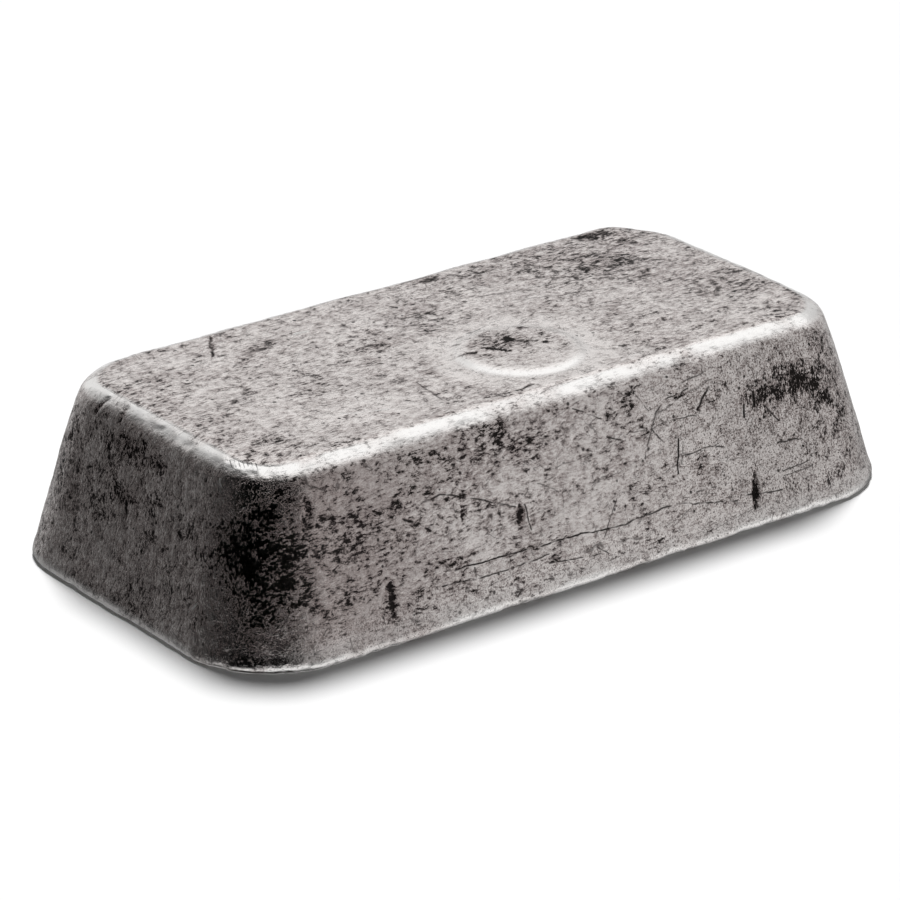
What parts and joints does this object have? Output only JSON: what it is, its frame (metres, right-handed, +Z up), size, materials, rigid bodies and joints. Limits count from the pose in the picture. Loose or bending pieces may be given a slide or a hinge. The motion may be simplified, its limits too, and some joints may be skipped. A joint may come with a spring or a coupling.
{
  "type": "metal ingot",
  "caption": "Poured silver bar with drafted sides, rounded corners and worn edges, lying on its larger face as raw stock.",
  "frame": {"origin": "centre of the base face, where the bar rests on the floor", "axes": "+Z up out of the base face, +X along the bar's length, +Y across its width"},
  "size_m": [0.143, 0.0772, 0.0325],
  "materials": {
    "silver": "satin"
  },
  "bodies": {
    "root": {"ingot": "silver"}
  },
  "joints": []
}
